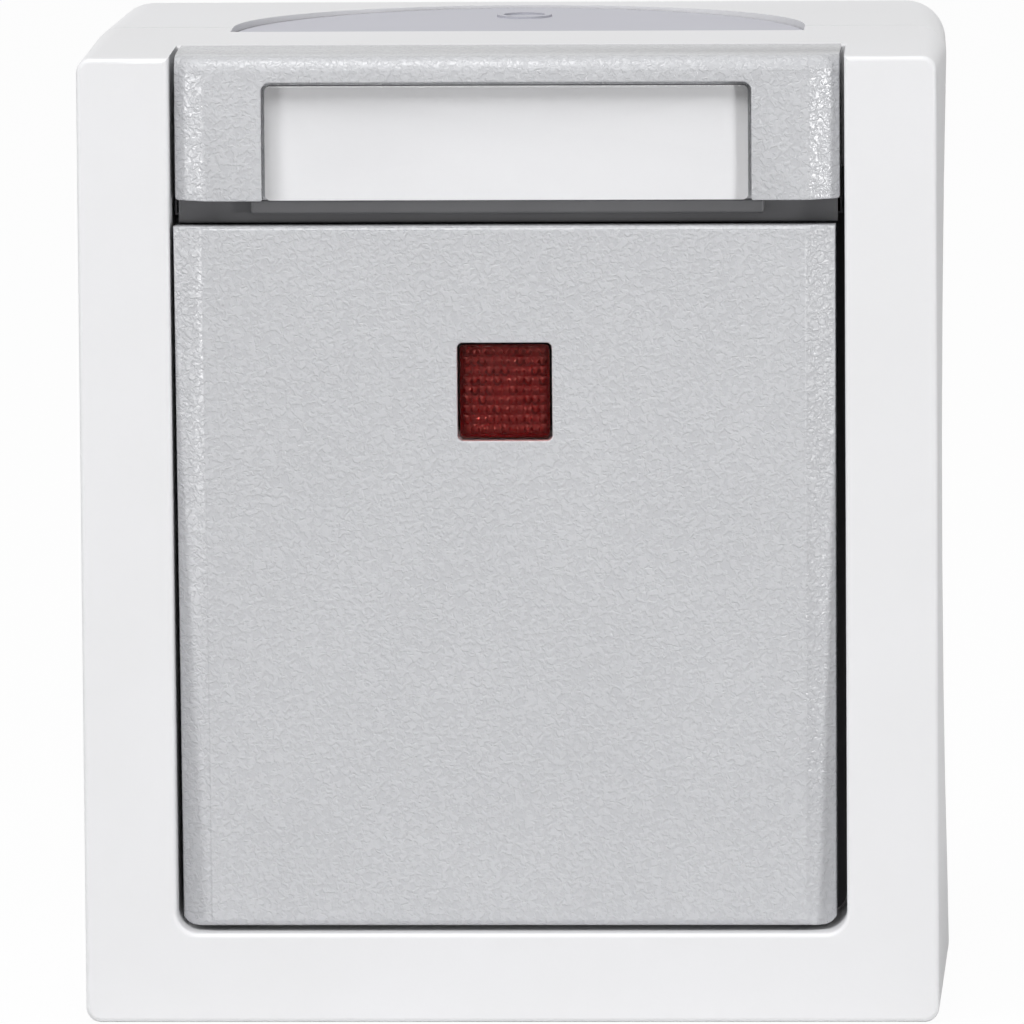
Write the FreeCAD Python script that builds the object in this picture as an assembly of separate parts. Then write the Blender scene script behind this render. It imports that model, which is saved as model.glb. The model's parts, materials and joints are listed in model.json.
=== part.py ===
import FreeCAD, Part
import math
import os

# Surface-mounted weatherproof rocker switch.
# Millimetres. X is to the right, Z is up, the front faces -Y and the wall is the plane Y = 0.
# The origin is the middle of the mounting face.

Vector = FreeCAD.Vector

# Housing
width = 76.0
height = 86.3
depth = 54.0
box_depth = 24.5
wall = 2.2
back_wall = 2.4
cover_draft = 0.6
box_draft = 0.3
side_waist = 0.5
cover_corner = 1.3
box_corner = 3.6
least_corner = 0.6
front_round = 0.45
ridge_round = 0.35
seam_groove = 0.15
rim_width = 4.6
rim_height = 2.6

# Well behind the front frame
side_border = 8.15
lower_border = 8.03
opening_corner = 1.9
well_depth = 12.0
well_wall = 1.8
flange = 2.0
window_margin = 3.8
window_corner = 3.0

# Label strip
strip_height = 12.75
strip_wall = 1.6
strip_front_wall = 3.6
strip_round = 1.3
strip_corner = 0.3
label_width = 43.3
label_height = 10.5
label_pocket = 1.4
label_gap = 0.28
card_thickness = 0.3
window_round = 0.5
window_edge_round = 0.2
strip_clip_width = 6.0
strip_clip_inside_screw = 11.2
strip_clip_thickness = 1.4

# Rocker
rocker_height = 63.05
rocker_aside = -0.25
rocker_taper = 0.15
rocker_depth = 8.6
rocker_wall = 2.0
rocker_corner = 1.3
rocker_edge_round = 0.8
rocker_top_round = 0.5
rocker_top_fall = 0.9
rocker_end_gap = 0.72
bevel_width = 2.7
bevel_depth = 1.5
strip_side_gap = 0.43
rocker_side_gap = 0.57
pivot_behind_front = 8.0
rest_tilt = 2.5
rib_thickness = 1.2
rib_depth = 2.6
rib_spacing_x = 40.0
rib_beyond_lens = 2.25

# Lens and lamp
lens_width = 8.2
lens_height = 8.6
lens_corner = 0.4
lens_from_cap_end = 2.275
lens_lip = 1.0
lens_lip_thickness = 1.0
lens_rows = 8
lens_groove = 0.35
lens_edge_round = 0.2
lamp_radius = 2.3
lamp_length = 7.6
holder_width = 12.0
holder_height = 6.0
holder_thickness = 3.0
holder_round = 0.8
holder_floor = 1.0
holder_roof = 1.0
lamp_below_lens = 0.5
lamp_pin_radius = 0.5
lamp_pin_length = 6.0
lamp_pin_spacing = 8.0

# Seal
membrane_thickness = 1.0
seal_rib_height = 1.3
seal_rib_beyond_label = 1.1
seal_rib_behind_front = 1.8
seal_rib_end_drop = 2.4
seal_step_drop = 0.3
skirt_thickness = 1.3
skirt_gap = 0.4
gasket_width = 1.6
gasket_thickness = 1.2

# Cable entries
entry_width = 51.5
entry_in_cover = 4.5
entry_apex = 3.5
entry_crown = 0.4
entry_recess = 0.25
entry_lip = 1.6
entry_lip_thickness = 1.2
entry_ring_radius = 2.5
entry_ring_width = 0.6
entry_ring_height = 0.2
entry_ring_from_wall = 12.0
entry_thin_radius = 8.0
entry_thin = 0.9

# Fastening
fixing_from_side = 8.0
fixing_spacing_z = 40.0
fixing_radius = 2.3
fixing_slot = 8.0
cover_screw_inside = 6.5
cover_screw_top = 7.4
cover_screw_low = 3.5
screw_radius = 1.45
screw_head_radius = 2.8
screw_head_height = 2.0
screw_head_slope = 0.8
screw_tip_radius = 0.3
screw_head_sink = 0.8
cross_width = 0.9
cross_length = 3.2
cross_depth = 1.0
cover_screw_length = 26.0
plate_screw_length = 12.0
post_radius = 3.4
gusset_thickness = 2.0

# Support plate and switch insert
plate_from_wall = 31.0
plate_thickness = 1.2
plate_margin = 3.0
ear_height = 14.0
socket_size = 40.0
socket_depth = 22.0
socket_corner = 2.0
cavity_width = 10.0
cavity_from_end = 3.0
cavity_depth = 8.0
cap_size = 38.0
cap_thickness = 5.8
cap_wall = 1.8
cap_hole_radius = 4.6
peg_from_edge = 3.5
peg_length = 4.5
cheek_thickness = 2.4
cheek_foot = 10.0
cheek_around_trunnion = 1.8

# Cradle and snap action
cradle_from_cap_end = 6.5
cradle_thickness = 2.0
cradle_front_to_pivot = 3.0
hub_radius = 3.0
trunnion_radius = 1.95
running_gap = 0.05
cheek_gap = 0.4
spring_post_radius = 3.7
spring_post_length = 4.5
spring_seat = 1.0
spring_radius = 2.0
spring_wire = 0.25
spring_turns = 6
spring_bore_gap = 0.2
spring_wire_sides = 4
clip_width = 6.0
clip_spacing = 20.0
clip_thickness = 1.5
clip_hook = 0.8
clip_gap = 0.2
stud_radius = 1.5
stud_spacing_x = 24.0
stud_spacing_z = 16.0
web_from_side = 5.0
web_thickness = 1.2
web_behind_pivot = 1.8
cradle_corner = 2.0

# Contacts
lever_swing = 8.0
lever_length = 20.0
lever_width = 5.0
lever_thickness = 0.8
lever_before_plate = 1.1
lever_corner = 1.5
boss_radius = 1.6
boss_tip_radius = 0.95
boss_height = 0.5
strip_metal = 0.8
button_radius = 1.5
button_height = 0.6
button_from_pivot = 8.5
contact_gap = 0.2
tail_below_cavity = 6.0
foot_length = 5.0
terminal_from_side = 8.0
terminal_from_end = 9.0
terminal_width = 7.0
terminal_height = 9.0
terminal_depth = 12.0
terminal_floor = 2.0
wire_radius = 1.45
wire_apart = 0.8
wire_lead_in = 0.3
wire_lead_in_depth = 1.0
clamp_metal = 0.4
clamp_lead = 2.5
key_width = 2.4
key_height = 12.0
key_length = 16.0
key_out = 2.0
key_travel = 1.5
key_grooves = 3
key_groove_radius = 0.35
key_groove_pitch = 1.6
key_groove_from_end = 2.5
key_round = 0.5
slide_gap = 0.15

# Clearances
fit_gap = 0.1
seat_gap = 0.2

# Places worked out from the sizes
front = -depth
seam = -box_depth
top = height / 2
bottom = -height / 2
opening_half = width / 2 - side_border
opening_low = bottom + lower_border
well_floor = front + well_depth
flange_back = well_floor + flange
strip_half = opening_half - strip_side_gap
strip_low = top - strip_height
rocker_half = opening_half - rocker_side_gap
pivot_z = opening_low + rocker_end_gap + rocker_height / 2
pivot_y = front + pivot_behind_front
rocker_top = pivot_z + rocker_height / 2
rocker_low = pivot_z - rocker_height / 2
rocker_back = front + rocker_depth
rocker_inside = front + rocker_wall
plate_back = -plate_from_wall
plate_front = plate_back - plate_thickness
cap_front = plate_front - cap_thickness
membrane_front = well_floor - membrane_thickness
cradle_front = pivot_y - cradle_front_to_pivot
cradle_back = cradle_front + cradle_thickness
cradle_half = cap_size / 2 - cheek_thickness - cheek_gap
cradle_half_z = cap_size / 2 - cradle_from_cap_end
lens_z = pivot_z + cap_size / 2 - lens_from_cap_end
cross_rib_half = lens_z - pivot_z + lens_height / 2 + lens_lip + rib_beyond_lens
lever_y = plate_front - lever_before_plate
entry_half = entry_width / 2
screw_x = opening_half - cover_screw_inside
upper_screw_z = top - cover_screw_top
lower_screw_z = opening_low + cover_screw_low
screw_seat = well_floor + screw_head_sink
strip_clip_x = screw_x - strip_clip_inside_screw
plate_half = cap_size / 2 + plate_margin
rim_inner = width / 2 + cover_draft - side_waist - rim_width
plate_screw_x = (socket_size / 2 + rim_inner) / 2
skirt_inner = cap_size / 2 + skirt_gap
skirt_outer = skirt_inner + skirt_thickness
window_half = skirt_outer + window_margin
cavity_half = socket_size / 2 - cavity_from_end
socket_back = plate_back + socket_depth
chamber_floor = socket_back - terminal_floor
tail_end = plate_back + cavity_depth + tail_below_cavity
box_front_length = depth - box_depth


# Simple solids

def block(x0, x1, y0, y1, z0, z1):
    return Part.makeBox(x1 - x0, y1 - y0, z1 - z0, Vector(x0, y0, z0))


def rod_y(radius, x, z, y0, y1):
    return Part.makeCylinder(radius, y1 - y0, Vector(x, y0, z), Vector(0, 1, 0))


def rod_x(radius, y, z, x0, x1):
    return Part.makeCylinder(radius, x1 - x0, Vector(x0, y, z), Vector(1, 0, 0))


def rod_z(radius, x, y, z0, z1):
    return Part.makeCylinder(radius, z1 - z0, Vector(x, y, z0), Vector(0, 0, 1))


def prism(points, along):
    """A closed polygon of points, pushed along a vector."""
    corners = [Vector(*p) for p in points]
    return Part.Face(Part.makePolygon(corners + corners[:1])).extrude(Vector(*along))


def joined(shapes):
    whole = shapes[0]
    for shape in shapes[1:]:
        whole = whole.fuse(shape)
    return whole.removeSplitter()


def edges_in(shape, test):
    """Edges of a shape whose middle point passes a test."""
    picked = []
    for edge in shape.Edges:
        middle = edge.valueAt((edge.FirstParameter + edge.LastParameter) / 2)
        if test(middle, edge):
            picked.append(edge)
    return picked


def along_y(edge):
    ends = [v.Point for v in edge.Vertexes]
    return len(ends) == 2 and abs(ends[0].x - ends[1].x) + abs(ends[0].z - ends[1].z) < 0.01


def rounded_wire(x0, x1, z0, z1, y, low_round, high_round, bow=0.0):
    """A rectangle in the plane Y = y with round corners and sides that bow inwards."""
    low = max(low_round, 0.01)
    high = max(high_round, 0.01)
    slant = math.sqrt(0.5)
    middle = (z0 + z1) / 2

    def at(x, z):
        return Vector(x, y, z)

    def corner(cx, cz, r, sx, sz, vertical_first):
        ends = [at(cx + sx * r, cz), at(cx, cz + sz * r)]
        if not vertical_first:
            ends.reverse()
        return Part.Arc(ends[0], at(cx + sx * r * slant, cz + sz * r * slant), ends[1]).toShape()

    def side(x, start, end, inward):
        if abs(inward) < 0.001:
            return Part.LineSegment(at(x, start), at(x, end)).toShape()
        return Part.Arc(at(x, start), at(x + inward, middle), at(x, end)).toShape()

    return Part.Wire([
        Part.LineSegment(at(x0 + low, z0), at(x1 - low, z0)).toShape(),
        corner(x1 - low, z0 + low, low, 1, -1, False),
        side(x1, z0 + low, z1 - high, -bow),
        corner(x1 - high, z1 - high, high, 1, 1, True),
        Part.LineSegment(at(x1 - high, z1), at(x0 + high, z1)).toShape(),
        corner(x0 + high, z1 - high, high, -1, 1, False),
        side(x0, z1 - high, z0 + low, bow),
        corner(x0 + low, z0 + low, low, -1, -1, True),
    ])


def rounded_block(x0, x1, z0, z1, y0, y1, low_round, high_round):
    face = Part.Face(rounded_wire(x0, x1, z0, z1, y0, low_round, high_round))
    return face.extrude(Vector(0, y1 - y0, 0))


# Housing outline

def half_at(y):
    """Half the width of the housing at a depth: it flares to the seam, then narrows to the wall."""
    if y <= seam:
        return width / 2 + cover_draft * (y - front) / box_front_length
    return width / 2 + cover_draft - box_draft * (y - seam) / box_depth


def waist_at(y):
    """How far the sides bow in at a depth: nothing at the front, all of it from the seam back."""
    return side_waist * min(1.0, (y - front) / box_front_length)


def corner_at(y):
    """The radius of the upright corners at a depth: it grows from the front to the wall."""
    return cover_corner + (box_corner - cover_corner) * (y - front) / depth


def housing_slice(y, inset):
    half = half_at(y) - inset
    rounding = max(corner_at(y) - inset, least_corner)
    return rounded_wire(-half, half, bottom + inset, top - inset, y, rounding, rounding, waist_at(y))


def housing_body(y0, y1, inset):
    slices = [housing_slice(y0, inset), housing_slice(y1, inset)]
    return Part.makeLoft(slices, True, True)


def screw_places():
    return [(sx * screw_x, z) for z in (upper_screw_z, lower_screw_z) for sx in (-1, 1)]


def plate_screw_places():
    return [(sx * plate_screw_x, pivot_z) for sx in (-1, 1)]


# Cable entries

def entry_outline(offset, z):
    """A D: a chord inside the cover's rim, two short straights and a half ellipse to the apex."""
    half = entry_half + offset
    chord = seam - entry_in_cover - offset
    ellipse = Part.Ellipse(Vector(0, seam, z), half, -seam - entry_apex + offset)
    curve = ellipse.toShape(0, math.pi)
    left = Vector(-half, seam, z)
    right = Vector(half, seam, z)
    wire = Part.Wire([
        curve,
        Part.LineSegment(left, Vector(-half, chord, z)).toShape(),
        Part.LineSegment(Vector(-half, chord, z), Vector(half, chord, z)).toShape(),
        Part.LineSegment(Vector(half, chord, z), right).toShape(),
    ])
    return Part.Face(wire)


def entry_solid(offset, z0, z1):
    return entry_outline(offset, z0).extrude(Vector(0, 0, z1 - z0))


def entry_opening():
    """What the upper entry takes out of the wall and of the rims inside it."""
    through = entry_solid(fit_gap, top - wall - 1.0, top + 1.0)
    inside = entry_solid(entry_lip + fit_gap, top - rim_width - 1.0, top - wall)
    return through.fuse(inside)


def cable_entry():
    """The upper entry: a crowned D that grips the wall between its face and a lip inside."""
    crown_low = top - entry_recess - entry_crown
    face = entry_solid(0.0, top - wall, top)
    arch = Part.Arc(Vector(-entry_half, 0, crown_low), Vector(0, 0, crown_low + entry_crown),
                    Vector(entry_half, 0, crown_low)).toShape()
    floor = Part.makePolygon([Vector(entry_half, 0, crown_low), Vector(entry_half, 0, top - wall - 1),
                              Vector(-entry_half, 0, top - wall - 1), Vector(-entry_half, 0, crown_low)])
    arched = Part.Face(Part.Wire([arch] + floor.Edges)).extrude(Vector(0, front, 0))
    face = face.common(arched)
    lip = entry_solid(entry_lip, top - wall - entry_lip_thickness, top - wall)
    body = face.fuse(lip)
    ring_z = top - entry_recess
    ring = rod_z(entry_ring_radius, 0, -entry_ring_from_wall, ring_z - entry_thin / 2,
                 ring_z + entry_ring_height)
    hole = rod_z(entry_ring_radius - entry_ring_width, 0, -entry_ring_from_wall, ring_z, ring_z + 1)
    thin = rod_z(entry_thin_radius, 0, -entry_ring_from_wall,
                 top - wall - entry_lip_thickness - 1, top - entry_recess - entry_thin)
    return body.fuse(ring).cut(hole).cut(thin).removeSplitter()


def upside_down(shape):
    """The same piece in the opposite wall."""
    return shape.mirror(Vector(0, 0, 0), Vector(0, 0, 1))


# Back box

def back_box():
    body = housing_body(seam, 0, 0)
    body = body.cut(housing_body(seam + rim_height, -back_wall, wall))
    body = body.cut(housing_body(seam - 1, seam + rim_height, rim_width))
    for x, z in screw_places():
        body = body.fuse(rod_y(post_radius, x, z, seam, -back_wall))
    body = body.cut(gasket_ring())
    for x, z in plate_screw_places():
        side = math.copysign(1, x)
        reach = half_at(0) - wall / 2
        body = body.fuse(rod_y(post_radius, x, z, plate_back, -back_wall))
        web = block(min(x, side * reach), max(x, side * reach), seam + rim_height, -back_wall,
                    z - gusset_thickness / 2, z + gusset_thickness / 2)
        body = body.fuse(web)
    for x, z in screw_places():
        body = body.cut(rod_y(screw_radius + fit_gap, x, z, seam - 1, screw_seat + cover_screw_length + 1))
    for x, z in plate_screw_places():
        body = body.cut(rod_y(screw_radius + fit_gap, x, z, plate_back - 1,
                              plate_front + plate_screw_length + 1))
    for sx in (-1, 1):
        for sz in (-1, 1):
            body = body.cut(fixing_hole(sx * (width / 2 - fixing_from_side), sz * fixing_spacing_z / 2))
    body = body.cut(entry_opening()).cut(upside_down(entry_opening()))
    return body.removeSplitter()


def fixing_hole(x, z):
    reach = fixing_slot / 2 - fixing_radius
    slot = block(x - reach, x + reach, -back_wall - 1, 1, z - fixing_radius, z + fixing_radius)
    for sx in (-1, 1):
        slot = slot.fuse(rod_y(fixing_radius, x + sx * reach, z, -back_wall - 1, 1))
    return slot


def gasket_ring():
    middle = (wall + rim_width) / 2
    outer = housing_body(seam, seam + gasket_thickness, middle - gasket_width / 2)
    inner = housing_body(seam - 1, seam + gasket_thickness + 1, middle + gasket_width / 2)
    return outer.cut(inner)


def box_gasket():
    """The seal in the groove of the rim: it stops at the two cable entries, which seal themselves."""
    ring = gasket_ring().cut(entry_opening()).cut(upside_down(entry_opening()))
    return ring


# Front cover

def front_cover():
    outer = housing_body(front, seam - seam_groove, 0)
    outer = outer.fuse(housing_body(seam - seam_groove, seam, seam_groove))
    body = outer.cut(housing_body(front + wall, seam - rim_height, wall))
    body = body.cut(housing_body(seam - rim_height, seam + 1, rim_width))
    well = block(-opening_half - well_wall, opening_half + well_wall, front + wall / 2, flange_back,
                 opening_low - well_wall, top)
    body = body.fuse(well)
    body = body.cut(rounded_block(-opening_half, opening_half, opening_low, top + wall,
                                  front - 1, well_floor, opening_corner, 0))
    body = body.cut(rounded_block(-window_half, window_half, pivot_z - window_half, pivot_z + window_half,
                                  well_floor - 1, flange_back + 1, window_corner, window_corner))
    for x, z in screw_places():
        body = body.fuse(rod_y(post_radius, x, z, flange_back - flange / 2, seam))
    for x, z in screw_places():
        body = body.cut(rod_y(screw_radius + fit_gap, x, z, well_floor - 1, seam + 1))
        body = body.cut(rod_y(screw_head_radius + seat_gap, x, z, well_floor - 1, screw_seat))
    for sx in (-1, 1):
        body = body.cut(strip_clip_slot(sx * strip_clip_x))
    body = body.cut(entry_opening()).cut(upside_down(entry_opening()))
    body = body.removeSplitter()
    ridge = edges_in(body, lambda p, e: abs(p.y - well_floor) < 0.01 and abs(p.z - top) < 0.01)
    body = body.makeFillet(ridge_round, ridge)
    rim = edges_in(body, lambda p, e: abs(p.y - front) < 0.01)
    return body.makeFillet(front_round, rim)


def strip_clip_z():
    return (strip_low + top) / 2


def strip_clip_slot(x):
    half = strip_clip_width / 2 + seat_gap
    z = strip_clip_z()
    return block(x - half, x + half, well_floor - 1, flange_back + 1,
                 z - strip_clip_thickness / 2 - seat_gap, z + strip_clip_thickness / 2 + clip_hook + seat_gap)


# Screws

def pan_screw(x, z, seat, length):
    """A pan-head screw that points at the wall, with a cross recess."""
    rim = screw_head_height / 2
    head = rod_y(screw_head_radius, x, z, seat - rim, seat)
    head = head.fuse(Part.makeCone(screw_head_radius, screw_head_radius - screw_head_slope, rim,
                                   Vector(x, seat - rim, z), Vector(0, -1, 0)))
    tip = seat + length
    shank = rod_y(screw_radius, x, z, seat, tip - screw_radius)
    point = Part.makeCone(screw_radius, screw_tip_radius, screw_radius, Vector(x, tip - screw_radius, z),
                          Vector(0, 1, 0))
    body = head.fuse(shank).fuse(point)
    face = seat - screw_head_height
    for half_x, half_z in ((cross_length / 2, cross_width / 2), (cross_width / 2, cross_length / 2)):
        body = body.cut(block(x - half_x, x + half_x, face - 1, face + cross_depth, z - half_z, z + half_z))
    return body.removeSplitter()


def cover_screws():
    return Part.makeCompound([pan_screw(x, z, screw_seat, cover_screw_length) for x, z in screw_places()])


def support_screws():
    return Part.makeCompound([pan_screw(x, z, plate_front, plate_screw_length)
                              for x, z in plate_screw_places()])


# Seal between cover, rocker and insert

def sealing_membrane():
    rib_low = strip_low - seal_rib_height - fit_gap / 2
    rib_high = strip_low - fit_gap / 2
    upper = strip_low + strip_wall + seat_gap
    half = opening_half - seat_gap
    sheet = rounded_block(-half, half, opening_low + seat_gap, upper, membrane_front, well_floor,
                          opening_corner, 0)
    rib_half = label_width / 2 + seal_rib_beyond_label
    rib = block(-rib_half, rib_half, front + seal_rib_behind_front, well_floor, rib_low, rib_high)
    ends = block(-half, half, front + seal_rib_behind_front + seal_rib_end_drop, well_floor,
                 rib_low - seal_step_drop, rib_high)
    skirt = rounded_block(-skirt_outer, skirt_outer, pivot_z - skirt_outer, pivot_z + skirt_outer,
                          well_floor, plate_front, window_corner, window_corner)
    bore = rounded_block(-skirt_inner, skirt_inner, pivot_z - skirt_inner, pivot_z + skirt_inner,
                         membrane_front - 1, plate_front + 1,
                         window_corner - skirt_thickness, window_corner - skirt_thickness)
    body = joined([sheet, rib, ends, skirt]).cut(bore)
    for x, z in screw_places():
        body = body.cut(rod_y(screw_head_radius + 4 * seat_gap, x, z, membrane_front - 1, well_floor + 1))
    return body.removeSplitter()


# Label strip

def label_strip():
    back = well_floor - seat_gap
    body = prism(bevelled_slice(strip_half, front, back, strip_low), (0, 0, strip_height))
    body = body.makeFillet(strip_corner, edges_in(
        body, lambda p, e: along_y(e) and abs(p.z - strip_low) < 0.01 and abs(abs(p.x) - strip_half) < 0.01))
    body = body.makeFillet(strip_round, edges_in(
        body, lambda p, e: abs(p.z - top) < 0.01 and p.y < front + bevel_depth + 0.01))
    hollow = block(-strip_half + strip_wall + 1, strip_half - strip_wall - 1, front + strip_front_wall,
                   back + 1, strip_low + strip_wall, top - strip_wall)
    body = body.cut(hollow)
    body = body.cut(block(-strip_half - 1, strip_half + 1, membrane_front - seat_gap, back + 1,
                          strip_low - 1, strip_low + strip_wall + 2 * seat_gap))
    pocket = rounded_block(-label_width / 2, label_width / 2, strip_low - 1, strip_low + label_height,
                           front - 1, front + label_pocket, 0, window_round + label_gap)
    body = body.cut(pocket)
    z = strip_clip_z()
    for sx in (-1, 1):
        x = sx * strip_clip_x
        low = z - strip_clip_thickness / 2
        high = z + strip_clip_thickness / 2
        arm = block(x - strip_clip_width / 2, x + strip_clip_width / 2, front + strip_front_wall - fit_gap,
                    flange_back + clip_gap + 2 * clip_hook, low, high)
        hook = prism([(x - strip_clip_width / 2, flange_back + clip_gap, high),
                      (x - strip_clip_width / 2, flange_back + clip_gap, high + clip_hook),
                      (x - strip_clip_width / 2, flange_back + clip_gap + 2 * clip_hook, high)],
                     (strip_clip_width, 0, 0))
        body = body.fuse(arm).fuse(hook)
    return body.removeSplitter()


def label_card():
    half = label_width / 2 - label_gap - fit_gap
    return block(-half, half, front + label_pocket - card_thickness, front + label_pocket,
                 strip_low + 2 * fit_gap, strip_low + label_height - label_gap - fit_gap)


def label_window():
    half = label_width / 2 - label_gap
    pane = rounded_block(-half, half, strip_low + fit_gap / 2, strip_low + label_height - label_gap,
                         front + fit_gap / 2, front + label_pocket - card_thickness, window_edge_round,
                         window_round)
    rim = edges_in(pane, lambda p, e: abs(p.y - front - fit_gap / 2) < 0.001)
    return pane.makeFillet(window_edge_round, rim)


# Rocker, drawn level and then tilted to its rest position

def at_rest(shape):
    """Turned about the trunnions, with the lower end pressed in."""
    turned = shape.copy()
    turned.rotate(Vector(0, pivot_y, pivot_z), Vector(1, 0, 0), rest_tilt)
    return turned


def bevelled_slice(half, y_front, y_back, z):
    """A level cut through a block whose two front side edges are cut back by the bevel."""
    return [(-half, y_back, z), (-half, y_front + bevel_depth, z), (-half + bevel_width, y_front, z),
            (half - bevel_width, y_front, z), (half, y_front + bevel_depth, z), (half, y_back, z)]


def rocker_slice(z, half, y_front, y_back):
    corners = [Vector(*p) for p in bevelled_slice(half, y_front, y_back, z)]
    return Part.makePolygon(corners + corners[:1])


def rocker_outline():
    """The rocker seen from the front: round lower corners, and a block behind them."""
    return rounded_block(-rocker_half, rocker_half, rocker_low, rocker_top + 1, front - 1, rocker_back + 1,
                         rocker_corner, 0)


def rocker_side_profile():
    """The rocker seen from the side: round lower and upper front edges, and a top that falls backwards."""
    low = rocker_edge_round
    high = rocker_top_round
    back_top = rocker_top - rocker_top_fall
    slant = 1 - math.sqrt(0.5)

    def at(y, z):
        return Vector(-rocker_half - 1, y, z)

    lower = Part.Arc(at(front + low, rocker_low), at(front + low * slant, rocker_low + low * slant),
                     at(front, rocker_low + low)).toShape()
    upper = Part.Arc(at(front, rocker_top - high), at(front + high * slant, rocker_top - high * slant),
                     at(front + high, rocker_top)).toShape()
    face = Part.Face(Part.Wire([
        lower,
        Part.LineSegment(at(front, rocker_low + low), at(front, rocker_top - high)).toShape(),
        upper,
        Part.LineSegment(at(front + high, rocker_top), at(rocker_back, back_top)).toShape(),
        Part.LineSegment(at(rocker_back, back_top), at(rocker_back, rocker_low)).toShape(),
        Part.LineSegment(at(rocker_back, rocker_low), at(front + low, rocker_low)).toShape(),
    ]))
    return face.extrude(Vector(2 * rocker_half + 2, 0, 0))


def rocker():
    body = Part.makeLoft([rocker_slice(rocker_low, rocker_half - rocker_taper, front, rocker_back),
                          rocker_slice(rocker_top, rocker_half, front, rocker_back)], True, True)
    body = body.common(rocker_outline()).common(rocker_side_profile())
    half = rocker_half - rocker_wall
    hollow = Part.makeLoft([rocker_slice(rocker_low + rocker_wall, half - rocker_taper, rocker_inside,
                                         rocker_back + 1),
                            rocker_slice(rocker_top - rocker_wall, half, rocker_inside,
                                         rocker_back + 1)], True, True)
    body = body.cut(hollow)
    for sx in (-1, 1):
        x = sx * rib_spacing_x / 2
        body = body.fuse(block(x - rib_thickness / 2, x + rib_thickness / 2, rocker_inside - 0.2,
                               rocker_inside + rib_depth, rocker_low + 1, rocker_top - 1))
    for sz in (-1, 1):
        z = pivot_z + sz * cross_rib_half
        body = body.fuse(block(-rocker_half + 1, rocker_half - 1, rocker_inside - 0.2,
                               rocker_inside + rib_depth, z - rib_thickness / 2, z + rib_thickness / 2))
        for sx in (-1, 1):
            body = body.fuse(rod_y(stud_radius, sx * stud_spacing_x / 2, pivot_z + sz * stud_spacing_z / 2,
                                   rocker_inside - 0.2, cradle_front))
            body = body.fuse(rocker_clip(sx * clip_spacing / 2, sz))
    hole_x = lens_width / 2 + fit_gap
    hole_z = lens_height / 2 + fit_gap
    body = body.cut(rounded_block(-hole_x, hole_x, lens_z - hole_z, lens_z + hole_z, front - 1,
                                  rocker_inside + 1, lens_corner + fit_gap, lens_corner + fit_gap))
    return at_rest(aside(body.removeSplitter()))


def aside(shape):
    """Moved sideways by the play of the clips."""
    moved = shape.copy()
    moved.translate(Vector(rocker_aside, 0, 0))
    return moved


def rocker_clip(x, sz):
    """A leg that passes the end of the cradle and hooks behind it."""
    edge = cradle_half_z
    inner = pivot_z + sz * (edge + clip_gap)
    outer = pivot_z + sz * (edge + clip_gap + clip_thickness)
    hook_z = pivot_z + sz * (edge - clip_hook)
    hook_y = cradle_back + clip_gap
    leg = block(x - clip_width / 2, x + clip_width / 2, rocker_inside - 0.2, hook_y + 2 * clip_hook,
                min(inner, outer), max(inner, outer))
    hook = prism([(x - clip_width / 2, hook_y, inner), (x - clip_width / 2, hook_y, hook_z),
                  (x - clip_width / 2, hook_y + 2 * clip_hook, inner)], (clip_width, 0, 0))
    return leg.fuse(hook)


def lens():
    x0 = -lens_width / 2
    x1 = lens_width / 2
    z0 = lens_z - lens_height / 2
    z1 = lens_z + lens_height / 2
    back = rocker_inside + lens_lip_thickness
    body = rounded_block(x0, x1, z0, z1, front + fit_gap, back, lens_corner, lens_corner)
    body = body.fuse(block(x0 - lens_lip, x1 + lens_lip, rocker_inside, back, z0 - lens_lip, z1 + lens_lip))
    pitch = lens_height / lens_rows
    for row in range(lens_rows):
        z = z0 + pitch * row
        groove = prism([(x0, back + 0.01, z), (x0, back + 0.01, z + pitch),
                        (x0, back - lens_groove, z + pitch / 2)], (lens_width, 0, 0))
        body = body.cut(groove)
    rim = edges_in(body, lambda p, e: abs(p.y - front - fit_gap) < 0.001)
    return at_rest(aside(body.makeFillet(lens_edge_round, rim).removeSplitter()))


# Cradle, carried by two trunnions in the cheeks of the cap

def cradle():
    half_z = cradle_half_z
    web_half_z = half_z - cradle_corner
    plate = block(-cradle_half, cradle_half, cradle_front, cradle_back, pivot_z - half_z, pivot_z + half_z)
    plate = plate.makeFillet(cradle_corner, edges_in(plate, lambda p, e: along_y(e)))
    hub = rod_x(hub_radius, pivot_y, pivot_z, -cradle_half, cradle_half)
    trunnion_half = cap_size / 2
    pins = rod_x(trunnion_radius, pivot_y, pivot_z, -trunnion_half, trunnion_half)
    post_end = pivot_y + spring_post_length
    post = rod_y(spring_post_radius, 0, pivot_z, pivot_y, post_end)
    body = joined([plate, hub, pins, post])
    body = body.cut(rod_y(spring_radius + spring_wire + spring_bore_gap, 0, pivot_z,
                          pivot_y + spring_seat, post_end + 1))
    for sx in (-1, 1):
        x = sx * (cradle_half - web_from_side)
        body = body.fuse(block(x - web_thickness / 2, x + web_thickness / 2,
                               cradle_back - fit_gap, pivot_y + web_behind_pivot,
                               pivot_z - web_half_z, pivot_z + web_half_z))
    return at_rest(body.removeSplitter())


def snap_spring():
    """A coil between the seat in the cradle and the boss of the contact lever."""
    start = pivot_y + spring_seat + spring_wire
    end = lever_face() - spring_wire
    length = end - start
    helix = Part.makeHelix(length / spring_turns, length, spring_radius)
    turns = [2 * math.pi * (corner + 0.5) / spring_wire_sides for corner in range(spring_wire_sides)]
    corners = [Vector(spring_radius + spring_wire * math.cos(turn), 0, spring_wire * math.sin(turn))
               for turn in turns]
    section = Part.makePolygon(corners + corners[:1])
    coil = Part.Wire(helix).makePipeShell([section], True, True)
    coil.rotate(Vector(0, 0, 0), Vector(1, 0, 0), -90)
    coil.translate(Vector(0, start, pivot_z))
    return coil


# Support plate

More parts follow.
